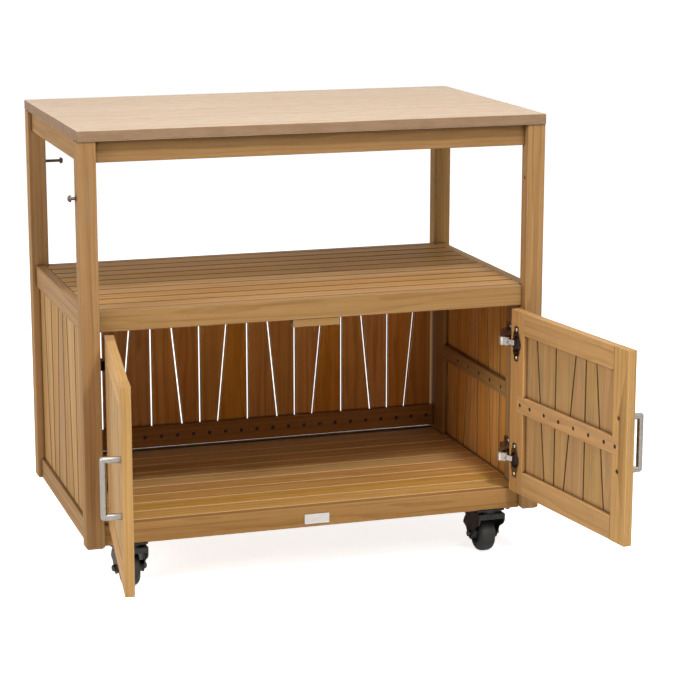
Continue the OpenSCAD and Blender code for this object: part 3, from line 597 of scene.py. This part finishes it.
def makeTimberPiece(name, along, across, finish, soften, s=cutSettings):
    work = cleanCopy(name)
    joint = work.faces.layers.float.new("joint")
    if soften:
        edges = [e for e in work.edges if e.is_manifold and e.calc_face_angle(0) > s["sharp"]]
        made = bmesh.ops.bevel(work, geom=edges, offset=soften, segments=s["segments"],
                               profile=s["profile"], affect="EDGES", clamp_overlap=True)
        for face in made["faces"]:
            face[joint] = 1.0
    work.verts.index_update()
    grain = work.verts.layers.float_vector.new("grain")
    tint = work.verts.layers.float.new("tint")
    through = along.cross(across)
    dice = random.Random(name)
    for group in islandsOf(work):
        middle = sum((v.co for v in group), Vector()) / len(group)
        pith = Vector((dice.uniform(-s["pithAlong"], s["pithAlong"]),
                       dice.uniform(-s["pithAcross"], s["pithAcross"]),
                       dice.uniform(*s["pithDeep"])))
        shade = dice.random()
        for vert in group:
            away = vert.co - middle
            vert[grain] = Vector((away.dot(along), away.dot(across),
                                  away.dot(through))) + pith
            vert[tint] = shade
    standWith(name, "timber_" + name, meshFrom(work, name, timber[finish]), True)


for name, settings in timberPieces.items():
    makeTimberPiece(name, *settings)

# Thin bead on the rear base rail, which leaves a narrow slit of daylight under the boards
beadSettings = {"high": 0.003, "deep": 0.009, "inset": 0.0015, "soft": 0.0006,
                "pith": (3.0, 0.05, 0.0), "tint": 0.4}


def makeBead(s):
    rail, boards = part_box("rear_base_rail"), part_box("back_boards")
    lowest = Vector((rail[0].x + s["inset"], boards[0].y, rail[1].z))
    highest = Vector((rail[1].x - s["inset"], boards[0].y + s["deep"],
                      rail[1].z + s["high"]))
    work = bmesh.new()
    bmesh.ops.create_cube(work, size=1.0, matrix=Matrix.Translation((lowest + highest) / 2)
                          @ Matrix.Diagonal((*(highest - lowest), 1.0)))
    bmesh.ops.bevel(work, geom=list(work.edges), offset=s["soft"],
                    segments=cutSettings["segments"], profile=cutSettings["profile"],
                    affect="EDGES")
    grain = work.verts.layers.float_vector.new("grain")
    tint = work.verts.layers.float.new("tint")
    work.faces.layers.float.new("joint")
    for vert in work.verts:
        vert[grain], vert[tint] = vert.co + Vector(s["pith"]), s["tint"]
    standWith("rear_base_rail", "rear_bead", meshFrom(work, "bead", timber["battenTimber"]))


makeBead(beadSettings)
print("timber pieces ready", len(timberPieces))

# The other solids keep their shape; a finish by name comes before the one of their slot
pieceFinish = {"left_hinge_links": "linkZinc", "right_hinge_links": "linkZinc",
               "left_hinge_cups": "darkReflectionSteel", "right_hinge_cups": "darkReflectionSteel",
               "hinge_arms": "armSteel", "panel_screws": "brownScrew",
               "left_door_screws": "brownScrew", "right_door_screws": "brownScrew"}
slotFinish = {"bright_steel": "brightSteel", "handle_steel": "handleSteel",
              "plate_steel": "plateSteel", "screw_steel": "screwSteel",
              "fork_steel": "forkPaint", "tyre_rubber": "tyreRubber",
              "pedal_plastic": "pedalPlastic"}
for name, node in nodes.items():
    if name not in timberPieces:
        node.data.materials.clear()
        node.data.materials.append(hard[pieceFinish.get(name) or slotFinish[slotOf[name]]])
print("solids painted")


# A small part is grown at each point, along its aim and by its size. The mesh's attributes
# are fetched by name each time, because adding one makes the others' references invalid.
def grow(node, name, group, points, finish, **sizes):
    mesh = bpy.data.meshes.new(name)
    mesh.from_pydata([p["at"] for p in points], [], [])
    mesh.attributes.new("aim", "FLOAT_VECTOR", "POINT")
    mesh.attributes.new("size", "FLOAT", "POINT")
    for i, p in enumerate(points):
        mesh.attributes["aim"].data[i].vector = p["aim"]
        mesh.attributes["size"].data[i].value = p.get("size", 1.0)
    carrier = bpy.data.objects.new(name + "_points", mesh)
    bpy.context.scene.collection.objects.link(carrier)
    maker = carrier.modifiers.new("grow", "NODES")
    maker.node_group = group
    for item in group.interface.items_tree:
        if item.item_type == "SOCKET" and item.name in sizes:
            maker[item.identifier] = sizes[item.name]
    grown = carrier.evaluated_get(bpy.context.evaluated_depsgraph_get())
    made = bpy.data.meshes.new_from_object(grown)
    carrier.modifiers.remove(maker)
    bpy.data.objects.remove(carrier)
    made.materials.clear()
    made.materials.append(hard[finish])
    made.polygons.foreach_set("material_index", [0] * len(made.polygons))
    standWith(node, name, made)


def newGrower(name, sizes):
    geometry = "NodeSocketGeometry"
    takes = [("Geometry", geometry, None)]
    takes += [(label, "NodeSocketFloat", default) for label, default in sizes.items()]
    return newGroup(name, "GeometryNodeTree", takes, [("Geometry", geometry)])


def standOnPoints(group, take, give, part, spin=0.0):
    aim = add(group, "GeometryNodeInputNamedAttribute", {"Name": "aim"},
              data_type="FLOAT_VECTOR").outputs["Attribute"]
    size = add(group, "GeometryNodeInputNamedAttribute", {"Name": "size"},
               data_type="FLOAT").outputs["Attribute"]
    turn = add(group, "FunctionNodeAlignRotationToVector", {"Vector": aim},
               axis="Z").outputs[0]
    chance = add(group, "FunctionNodeRandomValue", {2: -spin, 3: spin, "Seed": 5},
                 data_type="FLOAT").outputs[1]
    twist = add(group, "FunctionNodeAxisAngleToRotation", {"Axis": (0, 0, 1),
                "Angle": chance}).outputs[0]
    turned = add(group, "FunctionNodeRotateRotation", {0: turn, 1: twist},
                 rotation_space="LOCAL").outputs[0]
    placed = add(group, "GeometryNodeInstanceOnPoints", {"Points": take["Geometry"],
                 "Instance": part, "Rotation": turned, "Scale": size}).outputs[0]
    real = add(group, "GeometryNodeRealizeInstances", {0: placed}).outputs[0]
    flat = add(group, "GeometryNodeSetShadeSmooth", {"Geometry": real,
               "Shade Smooth": False}).outputs[0]
    group.links.new(flat, give[0])


def lifted(group, mesh, height):
    shift = add(group, "ShaderNodeCombineXYZ", {2: height}).outputs[0]
    return add(group, "GeometryNodeTransform", {"Geometry": mesh,
               "Translation": shift}).outputs[0]


def block(group, x, y, z):
    size = add(group, "ShaderNodeCombineXYZ", {0: x, 1: y, 2: z}).outputs[0]
    return add(group, "GeometryNodeMeshCube", {"Size": size}).outputs[0]


# Screw head with a cross recess: shares of its radius, and of its height for the lift
crossSettings = {"sides": 28, "top": 0.78, "slotLong": 1.15, "slotLift": 0.75}
nutSettings = {"crownSides": 24, "crownTop": 0.8, "crownHigh": 0.2, "studSides": 20,
               "stud": 0.52}


def makeCrossHeads(s):
    group, take, give = newGrower("crossHeads", {"Radius": 0.0036, "Height": 0.0008,
                                                 "Slot": 0.28})
    radius, height = take["Radius"], take["Height"]
    head = add(group, "GeometryNodeMeshCone", {"Vertices": s["sides"],
               "Radius Bottom": radius, "Radius Top": times(group, radius, s["top"]),
               "Depth": height}).outputs[0]
    long, wide = times(group, radius, s["slotLong"]), times(group, radius, take["Slot"])
    lift = times(group, height, s["slotLift"])
    cut = add(group, "GeometryNodeMeshBoolean", {"Mesh 1": head}, operation="DIFFERENCE")
    for x, y in ((long, wide), (wide, long)):
        group.links.new(lifted(group, block(group, x, y, height), lift),
                        cut.inputs["Mesh 2"])
    standOnPoints(group, take, give, cut.outputs[0], math.pi)
    return group


def makeHexNuts(s):
    group, take, give = newGrower("hexNuts", {"Radius": 0.006, "Height": 0.0025,
                                              "Stud": 0.0012})
    radius, height = take["Radius"], take["Height"]
    nut = add(group, "GeometryNodeMeshCylinder", {"Vertices": 6, "Radius": radius,
              "Depth": height}).outputs[0]
    crown = add(group, "GeometryNodeMeshCone", {"Vertices": s["crownSides"],
                "Radius Bottom": radius, "Radius Top": times(group, radius, s["crownTop"]),
                "Depth": times(group, height, s["crownHigh"])}).outputs[0]
    stud = add(group, "GeometryNodeMeshCylinder", {"Vertices": s["studSides"],
               "Radius": times(group, radius, s["stud"]), "Depth": take["Stud"]}).outputs[0]
    studLift = calc(group, "ADD", height, times(group, take["Stud"], 0.5))
    joined = group.nodes.new("GeometryNodeJoinGeometry")
    for mesh, lift in ((nut, times(group, height, 0.5)), (crown, height), (stud, studLift)):
        group.links.new(lifted(group, mesh, lift), joined.inputs[0])
    standOnPoints(group, take, give, joined.outputs[0], math.pi)
    return group


def makeRibs():
    group, take, give = newGrower("raisedRibs", {"Length": 0.02, "Width": 0.0016,
                                                 "Height": 0.0012})
    bar = block(group, take["Length"], take["Width"], take["Height"])
    standOnPoints(group, take, give,
                  lifted(group, bar, times(group, take["Height"], 0.5)))
    return group


crossHeads = makeCrossHeads(crossSettings)
hexNuts = makeHexNuts(nutSettings)
raisedRibs = makeRibs()


# The largest flat face of each solid of a node is the cap of a screw or the back of a
# plate. With far, the point is over its middle on the solid's opposite side.
def facesOf(name, far=False):
    work = cleanCopy(name)
    found = []
    for group in islandsOf(work):
        faces = {f for v in group for f in v.link_faces}
        face = max(faces, key=lambda f: f.calc_area())
        middle, aim = face.calc_center_bounds(), face.normal.copy()
        if far:
            reach = max((middle - v.co).dot(aim) for v in group)
            middle, aim = middle - aim * reach, -aim
        found.append({"at": middle.copy(), "aim": aim,
                      "radius": math.sqrt(face.calc_area() / math.pi)})
    work.free()
    return found


# Heads of the screws: finish, height and share of the cap's radius. A point's size is
# against the radius of the common head.
headRadius, headSlot = 0.0036, 0.3
headSettings = {
    "panel_screws": ("brownScrew", 0.0008, 0.94),
    "left_door_screws": ("brownScrew", 0.0008, 0.94),
    "right_door_screws": ("brownScrew", 0.0008, 0.94),
    "caster_screws": ("screwSteel", 0.0012, 0.9),
    "link_bolts": ("screwSteel", 0.0014, 0.86),
}
for name, (finish, height, share) in headSettings.items():
    caps = [{**cap, "size": cap["radius"] / headRadius} for cap in facesOf(name)]
    grow(name, "heads_" + name, crossHeads, caps, finish, Radius=headRadius * share,
         Height=height, Slot=headSlot)
print("screw heads ready")

# Screws of the hinges: two through the wings of each cup, two through each wall plate
hingeSettings = {"wingReach": 0.0285, "wingRadius": 0.0038, "footReach": 0.0165,
                 "footRadius": 0.0042, "footThick": 0.002, "height": 0.0016,
                 "slot": 0.28}


def makeHingeScrews(s):
    for side in ("left", "right"):
        node = side + "_hinge_cups"
        points = [{"at": face["at"] + Vector((0, 0, step)), "aim": face["aim"]}
                  for face in facesOf(node, True)
                  for step in (-s["wingReach"], s["wingReach"])]
        grow(node, side + "_cup_screws", crossHeads, points, "brightSteel",
             Radius=s["wingRadius"], Height=s["height"], Slot=s["slot"])
    points = [{"at": face["at"] - face["aim"] * s["footThick"] + Vector((0, 0, step)),
               "aim": -face["aim"]} for face in facesOf("hinge_arms")
              for step in (-s["footReach"], s["footReach"])]
    grow("hinge_arms", "hinge_foot_screws", crossHeads, points, "brightSteel",
         Radius=s["footRadius"], Height=s["height"], Slot=s["slot"])


makeHingeScrews(hingeSettings)

# Thin bent spring on the front of each hinge link
springSettings = {"wide": 0.0021, "tall": 0.0062, "wire": 0.00055, "off": 0.0003,
                  "steps": 16, "round": 3}


def makeSprings(side, s):
    node = side + "_hinge_links"
    work = cleanCopy(node)
    data = bpy.data.curves.new(side + "_spring", "CURVE")
    data.dimensions, data.bevel_depth, data.bevel_resolution = "3D", s["wire"], s["round"]
    data.materials.append(hard["springBlack"])
    for group in islandsOf(work):
        faces = {f for v in group for f in v.link_faces}
        front = max(faces, key=lambda f: -f.normal.y * f.calc_area())
        middle, out = front.calc_center_bounds(), front.normal
        across = Z.cross(out).normalized()
        spline = data.splines.new("NURBS")
        spline.points.add(s["steps"])
        for i, point in enumerate(spline.points):
            t = i / s["steps"]
            place = middle + out * s["off"] + Z * s["tall"] * (0.5 - t)
            place += across * s["wide"] * math.sin(2 * math.pi * t)
            point.co = (*place, 1.0)
        spline.use_endpoint_u = True
    work.free()
    standWith(node, side + "_link_spring", data)


for side in ("left", "right"):
    makeSprings(side, springSettings)
print("hinge details ready")

# Wheels: barrel tyre over a ribbed core, both turned about the axle. The core's half
# profile is radius and distance from the middle, in millimetres.
wheelSettings = {
    "radius": 0.0375, "wide": 0.034, "rim": 0.022, "rimSeat": 0.001, "square": 3.0,
    "arc": 12, "steps": 72, "sharp": 0.6,
    "core": [(22.2, 15.4), (19.8, 15.4), (19.2, 8.6), (12.2, 8.6), (11.4, 15.0),
             (10.6, 24.9), (4.3, 24.9)],
    "ribs": 10, "ribFrom": 0.0115, "ribLong": 0.0078, "ribDeep": 0.006,
    "ribThick": 0.0018, "web": 0.0085,
    "nutRadius": 0.0062, "nutHeight": 0.0026, "stud": 0.0014,
}


def turned(work, profile, middle, steps, finish):
    rings = []
    for i in range(steps):
        angle = 2 * math.pi * i / steps
        rings.append([work.verts.new(middle + Vector((x, r * math.cos(angle),
                      r * math.sin(angle)))) for r, x in profile])
    count = len(profile)
    for i in range(steps):
        a, b = rings[i], rings[(i + 1) % steps]
        for j in range(count):
            k = (j + 1) % count
            face = work.faces.new((a[j], a[k], b[k], b[j]))
            face.material_index, face.smooth = finish, True


def makeWheel(corner, s):
    node, fork = corner + "_wheel", corner + "_fork"
    middle = Vector(jointOf[corner + "_axle"]["pos_m"])
    half, seat = s["wide"] / 2, s["rim"] - s["rimSeat"]
    work = bmesh.new()
    tyre = []
    for i in range(2 * s["arc"] + 1):
        t = -1 + i / s["arc"]
        bulge = (1 - abs(t) ** s["square"]) ** (1 / s["square"])
        tyre.append((s["rim"] + (s["radius"] - s["rim"]) * bulge, t * half))
    tyre += [(seat, half - s["rimSeat"]), (seat, s["rimSeat"] - half)]
    turned(work, tyre, middle, s["steps"], 0)
    core = [(r / 1000, x / 1000) for r, x in s["core"]]
    turned(work, core + [(r, -x) for r, x in reversed(core)], middle, s["steps"], 1)
    bmesh.ops.recalc_face_normals(work, faces=work.faces)
    mesh = meshFrom(work, node, hard["tyreRubber"], hard["hubPlastic"])
    mesh.set_sharp_from_angle(angle=s["sharp"])
    standWith(node, "dressed_" + node, mesh, True)
    points = []
    for side in (-1, 1):
        for i in range(s["ribs"]):
            angle = 2 * math.pi * (i + 0.5) / s["ribs"]
            out = Vector((0, math.cos(angle), math.sin(angle)))
            start = middle + out * s["ribFrom"] + X * side * (s["web"] + s["ribDeep"] / 2)
            points.append({"at": start, "aim": out})
    grow(node, corner + "_wheel_ribs", raisedRibs, points, "hubPlastic",
         Length=s["ribDeep"], Width=s["ribThick"], Height=s["ribLong"])
    ends = [{"at": (edge[0], middle.y, middle.z), "aim": (turn, 0, 0)}
            for turn, edge in zip((-1, 1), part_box(fork))]
    grow(fork, corner + "_axle_nuts", hexNuts, ends, "screwSteel",
         Radius=s["nutRadius"], Height=s["nutHeight"], Stud=s["stud"])


for corner in corners:
    makeWheel(corner, wheelSettings)

# Ribs across the top of each brake pedal
pedalSettings = {"slope": math.radians(14), "above": 0.003, "first": 0.009,
                 "pitch": 0.0034, "count": 5, "long": 0.042, "thick": 0.0013,
                 "high": 0.0007}


def makePedalRibs(corner, s):
    pin = Vector(jointOf[corner + "_brake_pin"]["pos_m"])
    along = Vector((0, math.cos(s["slope"]), -math.sin(s["slope"])))
    out = Vector((0, math.sin(s["slope"]), math.cos(s["slope"])))
    points = [{"at": pin + along * (s["first"] + s["pitch"] * i) + out * s["above"],
               "aim": out} for i in range(s["count"])]
    grow(corner + "_brake", corner + "_pedal_ribs", raisedRibs, points, "pedalPlastic",
         Length=s["long"], Width=s["thick"], Height=s["high"])


for corner in corners[:2]:
    makePedalRibs(corner, pedalSettings)
print("caster details ready")

# Name plate left blank, with a raised rim round its face
plateSettings = {"rim": 0.0014, "sink": 0.00025, "step": 0.0002}


def makePlate(s):
    work = cleanCopy("blank_plate")
    front = min(work.faces, key=lambda f: f.normal.y)
    bmesh.ops.inset_region(work, faces=[front], thickness=s["rim"])
    bmesh.ops.inset_region(work, faces=[front], thickness=s["step"], depth=-s["sink"])
    standWith("blank_plate", "rimmed_plate", meshFrom(work, "plate", hard["plateSteel"]),
              True)


makePlate(plateSettings)
print("plate ready")
